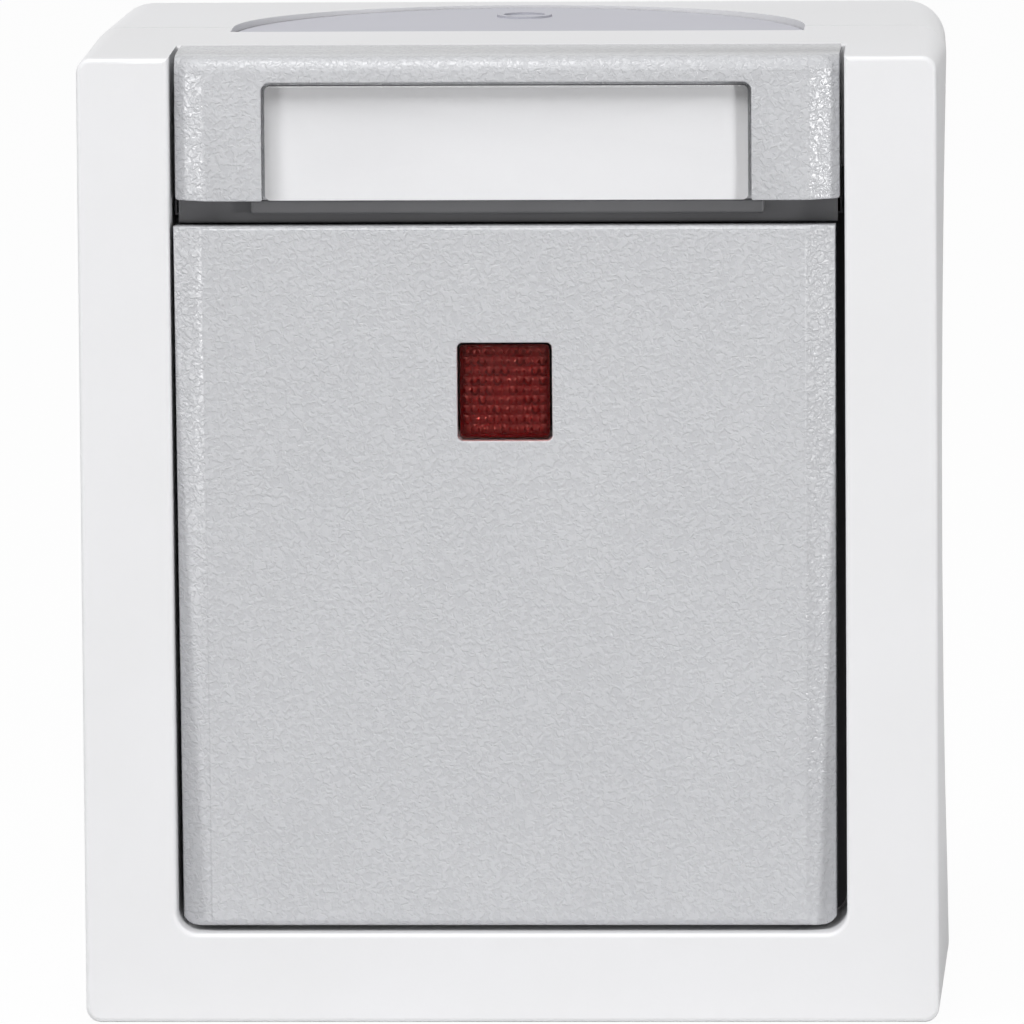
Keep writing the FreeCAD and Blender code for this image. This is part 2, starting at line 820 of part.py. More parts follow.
def support_plate():
    reach = plate_screw_x + screw_head_radius + 1
    body = rounded_block(-plate_half, plate_half, pivot_z - plate_half, pivot_z + plate_half,
                         plate_front, plate_back, window_corner, window_corner)
    ears = rounded_block(-reach, reach, pivot_z - ear_height / 2, pivot_z + ear_height / 2,
                         plate_front, plate_back, window_corner, window_corner)
    body = body.fuse(ears)
    body = body.cut(block(-cavity_width / 2, cavity_width / 2, plate_front - 1, plate_back + 1,
                          pivot_z - cavity_half, pivot_z + cavity_half))
    for x, z in plate_screw_places():
        body = body.cut(rod_y(screw_radius + fit_gap, x, z, plate_front - 1, plate_back + 1))
    for x, z in rivet_places():
        body = body.cut(rod_y(stud_radius + fit_gap, x, z, plate_front - 1, plate_back + 1))
    return body.removeSplitter()


def rivet_places():
    """Where pegs of the cap pass through the plate into the socket."""
    reach = cap_size / 2 - peg_from_edge
    return [(sx * reach, pivot_z + sz * reach) for sx in (-1, 1) for sz in (-1, 1)]


# Socket

def terminal_places():
    x = socket_size / 2 - terminal_from_side
    z = socket_size / 2 - terminal_from_end
    return [(sx * x, pivot_z + sz * z) for sx in (-1, 1) for sz in (-1, 1)]


def chamber(x, z):
    """The room for one clamp: it opens to the front and is closed by the plate."""
    return block(x - terminal_width / 2, x + terminal_width / 2, plate_back - 1, chamber_floor,
                 z - terminal_height / 2, z + terminal_height / 2)


def key_channel(side):
    half = key_height / 2 + slide_gap
    inner = socket_size / 2 - key_width - slide_gap
    x0, x1 = sorted((side * inner, side * (socket_size / 2 + 1)))
    back = socket_back
    return block(x0, x1, back + key_out - key_length - key_travel - slide_gap, back + 1,
                 pivot_z - half, pivot_z + half)


def socket():
    half = socket_size / 2
    body = rounded_block(-half, half, pivot_z - half, pivot_z + half, plate_back, socket_back,
                         socket_corner, socket_corner)
    body = body.cut(block(-cavity_width / 2, cavity_width / 2, plate_back - 1, plate_back + cavity_depth,
                          pivot_z - cavity_half, pivot_z + cavity_half))
    for x, z in terminal_places():
        body = body.cut(chamber(x, z))
        for sx in (-1, 1):
            hole_x = wire_place(x, sx)
            body = body.cut(rod_y(wire_radius, hole_x, z, chamber_floor - 1, socket_back + 1))
            lead_in = Part.makeCone(wire_radius, wire_radius + wire_lead_in, wire_lead_in_depth,
                                    Vector(hole_x, socket_back - wire_lead_in_depth, z), Vector(0, 1, 0))
            body = body.cut(lead_in)
    for x, z in rivet_places():
        body = body.cut(rod_y(stud_radius + fit_gap, x, z, plate_back - 1, plate_back + peg_length + fit_gap))
    for side in (-1, 1):
        body = body.cut(key_channel(side))
    for tail in tail_slots():
        body = body.cut(tail)
    return body.removeSplitter()


def release_lever(side):
    """A key in the side of the socket: pressed from behind, it opens the clamps beside it."""
    half = key_height / 2
    x0, x1 = sorted((side * (socket_size / 2 - key_width), side * socket_size / 2))
    back = socket_back
    start = back + key_out - key_length
    body = block(x0, x1, start, back + key_out, pivot_z - half, pivot_z + half)
    for number in range(key_grooves):
        y = back + key_out - key_groove_from_end - key_groove_pitch * number
        body = body.cut(rod_z(key_groove_radius, side * socket_size / 2, y, pivot_z - half - 1,
                              pivot_z + half + 1))
    ends = edges_in(body, lambda p, e: abs(p.y - back - key_out) < 0.01
                    and abs(abs(p.z - pivot_z) - half) < 0.01)
    return body.makeFillet(key_round, ends)


# Mechanism cap

def mechanism_cap():
    half = cap_size / 2
    body = rounded_block(-half, half, pivot_z - half, pivot_z + half, cap_front, plate_front,
                         socket_corner, socket_corner)
    room = cavity_half - cavity_from_end
    body = body.cut(block(-cavity_width / 2, cavity_width / 2, cap_front + cap_wall, plate_front + 1,
                          pivot_z - room, pivot_z + room))
    body = body.cut(rod_y(cap_hole_radius, 0, pivot_z, cap_front - 1, plate_front))
    for side in (-1, 1):
        body = body.fuse(cheek(side))
    for x, z in rivet_places():
        body = body.fuse(rod_y(stud_radius, x, z, plate_front, plate_back + peg_length))
    for x, z in lamp_pin_places():
        body = body.cut(rod_y(lamp_pin_radius, x, z, cap_front - 1, cap_front + lamp_pin_length))
    return body.removeSplitter()


def cheek(side):
    """A bearing cheek with a round head over the trunnion."""
    x0, x1 = sorted((side * (cap_size / 2 - cheek_thickness), side * cap_size / 2))
    radius = trunnion_radius + cheek_around_trunnion
    head = rod_x(radius, pivot_y, pivot_z, x0, x1)
    foot = cap_front + cap_wall / 2
    leg = prism([(x0, pivot_y, pivot_z - radius), (x0, pivot_y, pivot_z + radius),
                 (x0, foot, pivot_z + cheek_foot / 2), (x0, foot, pivot_z - cheek_foot / 2)],
                (x1 - x0, 0, 0))
    whole = head.fuse(leg)
    return whole.cut(rod_x(trunnion_radius + running_gap, pivot_y, pivot_z, x0 - 1, x1 + 1))


# Indicator lamp

def lamp_z():
    return lens_z - lamp_below_lens


def lamp_base():
    """Where the foot of the lamp stands in its holder."""
    return cap_front - holder_floor


def lamp_pin_start():
    return cap_front - holder_thickness + holder_roof


def lamp_pin_places():
    return [(sx * lamp_pin_spacing / 2, lamp_z()) for sx in (-1, 1)]


def lamp_holder():
    half = holder_width / 2
    z = lamp_z()
    body = block(-half, half, cap_front - holder_thickness, cap_front, z - holder_height / 2,
                 z + holder_height / 2)
    body = body.makeFillet(holder_round, edges_in(body, lambda p, e: along_y(e)))
    body = body.cut(rod_y(lamp_radius, 0, z, cap_front - holder_thickness - 1, lamp_base()))
    for x, pin_z in lamp_pin_places():
        body = body.cut(rod_y(lamp_pin_radius, x, pin_z, lamp_pin_start(), cap_front + 1))
    return body


def neon_lamp():
    z = lamp_z()
    base = lamp_base()
    tip = base - lamp_length
    body = rod_y(lamp_radius, 0, z, tip + lamp_radius, base)
    return body.fuse(Part.makeSphere(lamp_radius, Vector(0, tip + lamp_radius, z))).removeSplitter()


def lamp_pins():
    end = cap_front + lamp_pin_length - holder_floor
    return Part.makeCompound([rod_y(lamp_pin_radius, x, z, lamp_pin_start(), end)
                              for x, z in lamp_pin_places()])


# Contacts

def lever_face():
    """The front of the lever's boss, where the spring presses."""
    return lever_y - lever_thickness - boss_height


def lever_at_rest(shape):
    """Tilted onto the upper contact."""
    turned = shape.copy()
    turned.rotate(Vector(0, lever_y, pivot_z), Vector(1, 0, 0), -lever_swing)
    return turned


def contact_lever():
    """A plate with a boss for the spring, and a round groove behind it for the blade's edge."""
    half_x = lever_width / 2
    half_z = lever_length / 2
    front_y = lever_y - lever_thickness
    body = rounded_block(-half_x, half_x, pivot_z - half_z, pivot_z + half_z, front_y, lever_y,
                         lever_corner, lever_corner)
    boss = Part.makeCone(boss_radius, boss_tip_radius, boss_height, Vector(0, front_y, pivot_z),
                         Vector(0, -1, 0))
    groove = rod_x(strip_metal / 2 + running_gap, lever_y, pivot_z, -half_x - 1, half_x + 1)
    return lever_at_rest(body.fuse(boss).cut(groove).removeSplitter())


def lever_contacts():
    return lever_at_rest(Part.makeCompound([
        rod_y(button_radius, 0, pivot_z + sz * button_from_pivot, lever_y, lever_y + button_height)
        for sz in (-1, 1)]))


def fixed_button_face():
    """Where a fixed button meets the lever's button when the lever is tilted onto it."""
    turn = math.radians(lever_swing)
    reach = button_from_pivot + button_radius
    closed = button_height * math.cos(turn) + reach * math.sin(turn)
    return lever_y + closed + contact_gap


def contact_strip_front():
    return fixed_button_face() + button_height


def strip_end_z():
    return cavity_half - fit_gap


def end_contact(sz):
    """A strip under one end of the lever, bent back into the floor of the cavity."""
    front_y = contact_strip_front()
    end = pivot_z + sz * strip_end_z()
    start = pivot_z + sz * (button_from_pivot - button_radius - 0.5)
    z0, z1 = sorted((start, end))
    flat = block(-lever_width / 2, lever_width / 2, front_y, front_y + strip_metal, z0, z1)
    z0, z1 = sorted((end, end - sz * strip_metal))
    tail = block(-lever_width / 2, lever_width / 2, front_y, tail_end, z0, z1)
    return flat.fuse(tail).removeSplitter()


def common_contact():
    """A blade with a round edge that the lever rocks on, and a foot on the cavity's floor."""
    half = lever_width / 2
    floor = plate_back + cavity_depth
    crest = rod_x(strip_metal / 2, lever_y, pivot_z, -half, half)
    blade = block(-half, half, lever_y, tail_end, pivot_z - strip_metal / 2, pivot_z + strip_metal / 2)
    foot = block(-half, half, floor - strip_metal, floor, pivot_z, pivot_z + foot_length)
    return joined([crest, blade, foot])


def tail_slots():
    """Slots in the floor of the cavity for the tails of the three contacts."""
    floor = plate_back + cavity_depth
    half = lever_width / 2
    middle = block(-half, half, floor - 0.5, tail_end, pivot_z - strip_metal / 2, pivot_z + strip_metal / 2)
    slots = [middle]
    for sz in (-1, 1):
        end = pivot_z + sz * strip_end_z()
        z0, z1 = sorted((end, end - sz * strip_metal))
        slots.append(block(-half, half, floor - 0.5, tail_end, z0, z1))
    return slots


def fixed_contacts():
    face = fixed_button_face()
    return Part.makeCompound([
        rod_y(button_radius, 0, pivot_z + sz * button_from_pivot, face, face + button_height)
        for sz in (-1, 1)])


def clamp_spring(x, z):
    """A strip folded to a U on the floor of a chamber, with a tongue that grips the wires."""
    half = terminal_width / 2 - fit_gap
    low = z - terminal_height / 2 + seat_gap
    high = z + terminal_height / 2 - seat_gap
    floor = chamber_floor
    fold = floor - terminal_depth
    base = block(x - half, x + half, floor - clamp_metal, floor, low, high)
    near = block(x - half, x + half, fold, floor, low, low + clamp_metal)
    far = block(x - half, x + half, fold + clamp_lead, floor, high - clamp_metal, high)
    reach = 2 * wire_radius + wire_apart / 2
    base = base.cut(block(x - reach, x + reach, floor - 1, floor + 1, z - wire_radius, z + wire_radius))
    tongue = prism([(x - half, fold, low + clamp_metal), (x - half, fold, low),
                    (x - half, fold + 2 * clamp_lead, z), (x - half, fold + 2 * clamp_lead, z + clamp_metal)],
                   (2 * half, 0, 0))
    return joined([base, near, far, tongue])


def wire_place(x, sx):
    """The middle of one of the two wire holes of a chamber."""
    return x + sx * (wire_radius + wire_apart / 2)


def terminal_springs():
    return Part.makeCompound([clamp_spring(x, z) for x, z in terminal_places()])


nodes = {
    "back_box": back_box(),
    "cable_entry_top": cable_entry(),
    "cable_entry_bottom": upside_down(cable_entry()),
    "box_gasket": box_gasket(),
    "front_cover": front_cover(),
    "cover_screws": cover_screws(),
    "sealing_membrane": sealing_membrane(),
    "label_strip": label_strip(),
    "label_card": label_card(),
    "label_window": label_window(),
    "support_plate": support_plate(),
    "support_screws": support_screws(),
    "socket": socket(),
    "mechanism_cap": mechanism_cap(),
    "cradle": cradle(),
    "snap_spring": snap_spring(),
    "rocker": rocker(),
    "lens": lens(),
    "contact_lever": contact_lever(),
    "lever_contacts": lever_contacts(),
    "common_contact": common_contact(),
    "top_contact": end_contact(1),
    "bottom_contact": end_contact(-1),
    "fixed_contacts": fixed_contacts(),
    "terminal_springs": terminal_springs(),
    "release_lever_left": release_lever(-1),
    "release_lever_right": release_lever(1),
    "lamp_holder": lamp_holder(),
    "neon_lamp": neon_lamp(),
    "lamp_pins": lamp_pins(),
}

os.makedirs("parts", exist_ok=True)
for name, shape in nodes.items():
    shape.exportStep("parts/" + name + ".step")
    print(name, "solids", len(shape.Solids), "volume", round(shape.Volume, 1), "valid", shape.isValid())
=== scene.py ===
import json
import math

import bmesh
import bpy
import numpy as np
from mathutils import Matrix, Vector


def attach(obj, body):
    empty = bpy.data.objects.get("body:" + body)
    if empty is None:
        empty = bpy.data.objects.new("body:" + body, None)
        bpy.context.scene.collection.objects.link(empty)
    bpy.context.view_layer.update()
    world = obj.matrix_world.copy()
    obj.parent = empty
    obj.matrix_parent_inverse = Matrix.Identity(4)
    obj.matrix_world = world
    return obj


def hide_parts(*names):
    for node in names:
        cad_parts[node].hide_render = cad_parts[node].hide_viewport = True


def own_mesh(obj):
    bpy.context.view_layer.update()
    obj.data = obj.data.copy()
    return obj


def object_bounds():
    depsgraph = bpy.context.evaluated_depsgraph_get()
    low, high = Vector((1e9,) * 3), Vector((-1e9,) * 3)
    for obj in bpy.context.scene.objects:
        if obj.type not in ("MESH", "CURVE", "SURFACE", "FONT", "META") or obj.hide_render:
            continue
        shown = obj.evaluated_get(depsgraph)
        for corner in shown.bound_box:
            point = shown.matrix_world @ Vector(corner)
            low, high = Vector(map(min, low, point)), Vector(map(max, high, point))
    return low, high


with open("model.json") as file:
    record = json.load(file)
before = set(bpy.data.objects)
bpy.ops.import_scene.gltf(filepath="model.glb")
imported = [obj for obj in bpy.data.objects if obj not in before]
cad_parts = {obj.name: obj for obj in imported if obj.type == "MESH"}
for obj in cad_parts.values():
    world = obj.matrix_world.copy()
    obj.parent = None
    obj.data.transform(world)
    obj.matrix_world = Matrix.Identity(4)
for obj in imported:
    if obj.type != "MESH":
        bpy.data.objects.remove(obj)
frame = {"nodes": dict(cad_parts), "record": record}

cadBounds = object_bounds()
nodes = frame["nodes"]
mm = 0.001
mergeWithin = {"built": 2e-7, "cad": 2e-6}  # metres
print("frame loaded:", len(nodes), "nodes")


# Mesh helpers: every shape is worked out in millimetres and stored in metres

def meshPiece(name, points, faces):
    mesh = bpy.data.meshes.new(name)
    mesh.from_pydata((points.reshape(-1, 3) * mm).tolist(), [], faces)
    piece = bpy.data.objects.new(name, mesh)
    bpy.context.scene.collection.objects.link(piece)
    outward(piece)
    return piece


def outward(piece):
    # doubles are merged first, then every face is turned to point out
    shape = bmesh.new()
    shape.from_mesh(piece.data)
    bmesh.ops.remove_doubles(shape, verts=shape.verts, dist=mergeWithin["built"])
    bmesh.ops.recalc_face_normals(shape, faces=shape.faces)
    shape.to_mesh(piece.data)
    shape.free()


def quadsOf(index):
    # index is a table of point numbers: each face joins four neighbours
    corners = [index[:-1, :-1], index[:-1, 1:], index[1:, 1:], index[1:, :-1]]
    return np.stack(corners, axis=-1).reshape(-1, 4).tolist()


def lofted(name, rings):
    # rings is rings x points x 3, each ring closed: the walls join the rings, and both ends are capped
    count, around = rings.shape[:2]
    index = np.arange(count * around).reshape(count, around)
    faces = quadsOf(np.concatenate([index, index[:, :1]], axis=1))
    faces += [index[0, ::-1].tolist(), index[-1].tolist()]
    return meshPiece(name, rings, faces)


def smoothByAngle(piece, degrees=40.0):
    piece.data.polygons.foreach_set("use_smooth", np.ones(len(piece.data.polygons), bool))
    piece.data.set_sharp_from_angle(angle=math.radians(degrees))


def roundedLoop(halfX, halfZ, radius, steps=8):
    # a rectangle with quarter-circle corners, as an ordered loop of (x, z)
    turn = np.linspace(0, math.pi / 2, steps)
    starts = np.repeat(np.arange(4) * math.pi / 2, steps)
    angle = starts + np.tile(turn, 4)
    signX = np.repeat([1, -1, -1, 1], steps)
    signZ = np.repeat([1, 1, -1, -1], steps)
    return np.stack([signX * (halfX - radius) + radius * np.cos(angle),
                     signZ * (halfZ - radius) + radius * np.sin(angle)], axis=-1)


def roundedSlab(halfX, halfZ, corner, edgeRound, steps, front, back):
    # rings of a rounded rectangle from front to back, drawn in round the front edge by a quarter circle
    turn = np.linspace(0, math.pi / 2, steps)
    insets = np.append(edgeRound * (1 - np.sin(turn)), 0.0)
    depths = np.append(front + edgeRound * (1 - np.cos(turn)), back)
    rings = []
    for inset, depth in zip(insets, depths):
        loop = roundedLoop(halfX - inset, halfZ - inset, corner - inset)
        rings.append(np.stack([loop[:, 0], np.full(len(loop), depth), loop[:, 1]], axis=-1))
    return np.array(rings)


# the rocker at rest, in degrees and millimetres
rockerPose = {"tilt": 2.5, "pivotY": -46.0, "pivotZ": -2.875, "aside": -0.25}
frontFace = -54.0


def rested(points):
    # turned about the trunnions to the rest position: (y, z) turns by the rest tilt, and x moves aside
    turn = math.radians(rockerPose["tilt"])
    y = points[..., 1] - rockerPose["pivotY"]
    z = points[..., 2] - rockerPose["pivotZ"]
    return np.stack([points[..., 0] + rockerPose["aside"],
                     rockerPose["pivotY"] + y * math.cos(turn) - z * math.sin(turn),
                     rockerPose["pivotZ"] + y * math.sin(turn) + z * math.cos(turn)], axis=-1)


# Node helpers

def newGroup(name, inputs, outputs):
    group = bpy.data.node_groups.new(name, "ShaderNodeTree")
    for label, kind, value in inputs:
        socket = group.interface.new_socket(name=label, in_out="INPUT", socket_type=kind)
        if value is not None:
            socket.default_value = value
    for label, kind in outputs:
        group.interface.new_socket(name=label, in_out="OUTPUT", socket_type=kind)
    return group, group.nodes.new("NodeGroupInput"), group.nodes.new("NodeGroupOutput")


def mathNode(tree, operation, first, second):
    node = tree.nodes.new("ShaderNodeMath")
    node.operation = operation
    for socket, value in zip(node.inputs, (first, second)):
        if isinstance(value, (int, float)):
            socket.default_value = value
        else:
            tree.links.new(value, socket)
    return node.outputs[0]


def noiseNode(tree, vector, scale, detail, distortion=0.0):
    texture = tree.nodes.new("ShaderNodeTexNoise")
    texture.inputs["Detail"].default_value = detail
    texture.inputs["Distortion"].default_value = distortion
    tree.links.new(vector, texture.inputs["Vector"])
    if isinstance(scale, (int, float)):
        texture.inputs["Scale"].default_value = scale
    else:
        tree.links.new(scale, texture.inputs["Scale"])
    return texture.outputs["Fac"]


# Camera

view = {"azimuth": 2.42, "elevation": 7.495, "roll": -0.411, "distance": 1181.6, "focal": 13333.8,
        "centreX": 508.86, "centreY": 542.20, "frame": 1024, "target": (0.0, -54.0, 0.0),
        "sensor": 36.0, "clipStart": 0.05}


def makeCamera():
    # it looks at the target from azimuth and elevation, rolled about its own axis
    a = math.radians(view["azimuth"])
    e = math.radians(view["elevation"])
    r = math.radians(view["roll"])
    back = np.array([math.sin(a) * math.cos(e), -math.cos(a) * math.cos(e), math.sin(e)])
    right = np.cross(-back, (0.0, 0.0, 1.0))
    right /= np.linalg.norm(right)
    up = np.cross(right, -back)
    turnedRight = math.cos(r) * right + math.sin(r) * up
    turnedUp = -math.sin(r) * right + math.cos(r) * up
    place = np.array(view["target"]) + view["distance"] * back
    data = bpy.data.cameras.new("camera")
    data.sensor_width = view["sensor"]
    data.lens = view["focal"] * data.sensor_width / view["frame"]
    data.shift_x = (view["frame"] / 2 - view["centreX"]) / view["frame"]
    data.shift_y = (view["centreY"] - view["frame"] / 2) / view["frame"]
    data.clip_start = view["clipStart"]
    camera = bpy.data.objects.new("camera", data)
    bpy.context.scene.collection.objects.link(camera)
    rows = [[turnedRight[i], turnedUp[i], back[i], place[i] * mm] for i in range(3)]
    camera.matrix_world = Matrix(rows + [[0, 0, 0, 1]])
    bpy.context.scene.camera = camera


# Light: a soft box above, a low strip light at each side, and a weak box in front

lamps = {
    "above": {"place": (-0.20, -0.42, 0.94), "size": (0.6, 0.6), "power": 7.8},
    "left": {"place": (-1.09, -0.67, 0.02), "size": (0.24, 0.09), "power": 3.1},
    "right": {"place": (1.03, -0.76, 0.02), "size": (0.24, 0.09), "power": 4.8},
    "front": {"place": (0.25, -1.25, 0.50), "size": (0.7, 0.7), "power": 1.4},
}
lampAim = (0, -0.05, 0)
roomLight = 0.345


def makeLamps():
    for name, lamp in lamps.items():
        data = bpy.data.lights.new(name, "AREA")
        data.shape = "RECTANGLE"
        data.size, data.size_y = lamp["size"]
        data.energy = lamp["power"]
        light = bpy.data.objects.new(name, data)
        light.location = lamp["place"]
        aim = Vector(lampAim) - Vector(lamp["place"])
        light.rotation_euler = aim.to_track_quat("-Z", "Y").to_euler()
        bpy.context.scene.collection.objects.link(light)


def makeRoom():
    world = bpy.data.worlds.new("room")
    bpy.context.scene.world = world
    world.use_nodes = True
    tree = world.node_tree
    tree.nodes.clear()
    path = tree.nodes.new("ShaderNodeLightPath")
    # the white room is seen straight, in gloss and through clear pieces, and matt surfaces get roomLight
    straight = mathNode(tree, "LESS_THAN", path.outputs["Diffuse Depth"], 0.5)
    through = mathNode(tree, "MULTIPLY", path.outputs["Is Transmission Ray"], straight)
    seen = mathNode(tree, "MAXIMUM", path.outputs["Is Camera Ray"], path.outputs["Is Glossy Ray"])
    shown = mathNode(tree, "MAXIMUM", seen, through)
    strength = tree.nodes.new("ShaderNodeMapRange")
    strength.inputs["To Min"].default_value = roomLight
    strength.inputs["To Max"].default_value = 1.0
    glow = tree.nodes.new("ShaderNodeBackground")
    out = tree.nodes.new("ShaderNodeOutputWorld")
    tree.links.new(shown, strength.inputs["Value"])
    tree.links.new(strength.outputs["Result"], glow.inputs["Strength"])
    tree.links.new(glow.outputs[0], out.inputs["Surface"])
    bpy.context.scene.view_settings.view_transform = "Standard"


floorPaper = {"half": 1.6, "below": 0.02, "glow": 0.97, "colour": 0.72}  # half in metres, below in mm


def makeFloor():
    low = cadBounds[0][2] - floorPaper["below"] * mm
    half = floorPaper["half"]
    corners = [(-half, -half, low), (half, -half, low), (half, half, low), (-half, half, low)]
    mesh = bpy.data.meshes.new("floor")
    mesh.from_pydata(corners, [], [(0, 1, 2, 3)])
    floor = bpy.data.objects.new("floor", mesh)
    bpy.context.scene.collection.objects.link(floor)
    material = bpy.data.materials.new("floor_paper")
    material.use_nodes = True
    tree = material.node_tree
    tree.nodes.clear()
    path = tree.nodes.new("ShaderNodeLightPath")
    matte = tree.nodes.new("ShaderNodeBsdfDiffuse")
    matte.inputs["Color"].default_value = (*[floorPaper["colour"]] * 3, 1)
    glow = tree.nodes.new("ShaderNodeEmission")
    mix = tree.nodes.new("ShaderNodeMixShader")
    out = tree.nodes.new("ShaderNodeOutputMaterial")
    seen = mathNode(tree, "MULTIPLY", path.outputs["Is Camera Ray"], floorPaper["glow"])
    tree.links.new(seen, mix.inputs["Fac"])
    tree.links.new(matte.outputs[0], mix.inputs[1])
    tree.links.new(glow.outputs[0], mix.inputs[2])
    tree.links.new(mix.outputs[0], out.inputs["Surface"])
    mesh.materials.append(material)


# Surface effects that several finishes share

grainLook = {"islands": 2100.0, "crumbs": 4200.0, "crumbShare": 0.5, "warp": 0.7, "cut": (0.38, 0.62),
             "drift": 70.0, "driftTone": 0.2, "islandTone": 0.16, "baseTone": 0.32}
satinLook = {"drift": 60.0, "waver": 3000.0}


def makeGrainGroup():
    # worm-like islands: a warped noise is cut to plateaus between two levels, with fine crumbs on top
    look = grainLook
    group, given, out = newGroup(
        "mould grain",
        [("Vector", "NodeSocketVector", None), ("Island Scale", "NodeSocketFloat", look["islands"]),
         ("Crumb Scale", "NodeSocketFloat", look["crumbs"]),
         ("Crumb Share", "NodeSocketFloat", look["crumbShare"])],
        [("Height", "NodeSocketFloat"), ("Tone", "NodeSocketFloat")])
    vector = given.outputs["Vector"]
    warped = noiseNode(group, vector, given.outputs["Island Scale"], 2.0, look["warp"])
    plateau = group.nodes.new("ShaderNodeMapRange")
    plateau.interpolation_type = "SMOOTHSTEP"
    plateau.inputs["From Min"].default_value, plateau.inputs["From Max"].default_value = look["cut"]
    group.links.new(warped, plateau.inputs["Value"])
    islands = plateau.outputs["Result"]
    crumbs = noiseNode(group, vector, given.outputs["Crumb Scale"], 1.0)
    crumbPart = mathNode(group, "MULTIPLY", crumbs, given.outputs["Crumb Share"])
    group.links.new(mathNode(group, "ADD", islands, crumbPart), out.inputs["Height"])
    driftPart = mathNode(group, "MULTIPLY", noiseNode(group, vector, look["drift"], 3.0), look["driftTone"])
    islandPart = mathNode(group, "MULTIPLY", islands, look["islandTone"])
    tone = mathNode(group, "ADD", driftPart, islandPart)
    group.links.new(mathNode(group, "ADD", tone, look["baseTone"]), out.inputs["Tone"])
    return group


def makeSatinGroup():
    # flow marks of smooth plastic and metal: a slow tone and a very fine waver, drawn out along Z
    group, given, out = newGroup(
        "smooth finish",
        [("Vector", "NodeSocketVector", None), ("Slow Scale", "NodeSocketFloat", satinLook["drift"]),
         ("Fine Scale", "NodeSocketFloat", satinLook["waver"]), ("Stretch", "NodeSocketFloat", 1.0)],
        [("Height", "NodeSocketFloat"), ("Tone", "NodeSocketFloat")])
    split = group.nodes.new("ShaderNodeSeparateXYZ")
    join = group.nodes.new("ShaderNodeCombineXYZ")
    group.links.new(given.outputs["Vector"], split.inputs[0])
    group.links.new(split.outputs["X"], join.inputs["X"])
    group.links.new(split.outputs["Y"], join.inputs["Y"])
    drawn = mathNode(group, "MULTIPLY", split.outputs["Z"], given.outputs["Stretch"])
    group.links.new(drawn, join.inputs["Z"])
    waver = noiseNode(group, join.outputs[0], given.outputs["Fine Scale"], 2.0)
    drift = noiseNode(group, given.outputs["Vector"], given.outputs["Slow Scale"], 3.0)
    group.links.new(waver, out.inputs["Height"])
    group.links.new(drift, out.inputs["Tone"])
    return group


grain = makeGrainGroup()
satin = makeSatinGroup()
toneRange = (0.3, 0.7)  # the part of the tone that goes from the first colour to the second
clearBump = 0.0005


def finish(name, effect, dark, light, roughness, bump, inputs=None, **shader):
    # colour and roughness drift between two values with the tone, and the height feeds a bump in mm
    material = bpy.data.materials.new(name)
    material.use_nodes = True
    tree = material.node_tree
    principled = tree.nodes["Principled BSDF"]
    place = tree.nodes.new("ShaderNodeTexCoord")
    group = tree.nodes.new("ShaderNodeGroup")
    group.node_tree = effect
    tree.links.new(place.outputs["Object"], group.inputs["Vector"])
    for label, value in (inputs or {}).items():
        group.inputs[label].default_value = value
    spread = tree.nodes.new("ShaderNodeMapRange")
    spread.inputs["From Min"].default_value, spread.inputs["From Max"].default_value = toneRange
    tree.links.new(group.outputs["Tone"], spread.inputs["Value"])
    colour = tree.nodes.new("ShaderNodeMix")
    colour.data_type = "RGBA"
    colour.inputs[6].default_value = (*dark, 1)  # 6 and 7 are the two colours of a Mix node
    colour.inputs[7].default_value = (*light, 1)
    tree.links.new(spread.outputs["Result"], colour.inputs["Factor"])
    tree.links.new(colour.outputs[2], principled.inputs["Base Color"])
    rough = tree.nodes.new("ShaderNodeMapRange")
    rough.inputs["To Min"].default_value, rough.inputs["To Max"].default_value = roughness
    tree.links.new(spread.outputs["Result"], rough.inputs["Value"])
    tree.links.new(rough.outputs["Result"], principled.inputs["Roughness"])
    relief = tree.nodes.new("ShaderNodeBump")
    relief.inputs["Strength"].default_value = 1.0
    relief.inputs["Distance"].default_value = bump * mm
    tree.links.new(group.outputs["Height"], relief.inputs["Height"])
    tree.links.new(relief.outputs["Normal"], principled.inputs["Normal"])
    for label, value in shader.items():
        principled.inputs[label.replace("_", " ")].default_value = value
    return material


def clearFinish(name, colour, roughness, **shader):
    # glass that lets the lamps through to what lies behind it
    material = finish(name, satin, colour, colour, roughness, clearBump, Transmission_Weight=1.0, **shader)
    tree = material.node_tree
    path = tree.nodes.new("ShaderNodeLightPath")
    through = tree.nodes.new("ShaderNodeBsdfTransparent")
    through.inputs["Color"].default_value = (*colour, 1)
    mix = tree.nodes.new("ShaderNodeMixShader")
    tree.links.new(path.outputs["Is Shadow Ray"], mix.inputs["Fac"])
    tree.links.new(tree.nodes["Principled BSDF"].outputs[0], mix.inputs[1])
    tree.links.new(through.outputs[0], mix.inputs[2])
    tree.links.new(mix.outputs[0], tree.nodes["Material Output"].inputs["Surface"])
    return material


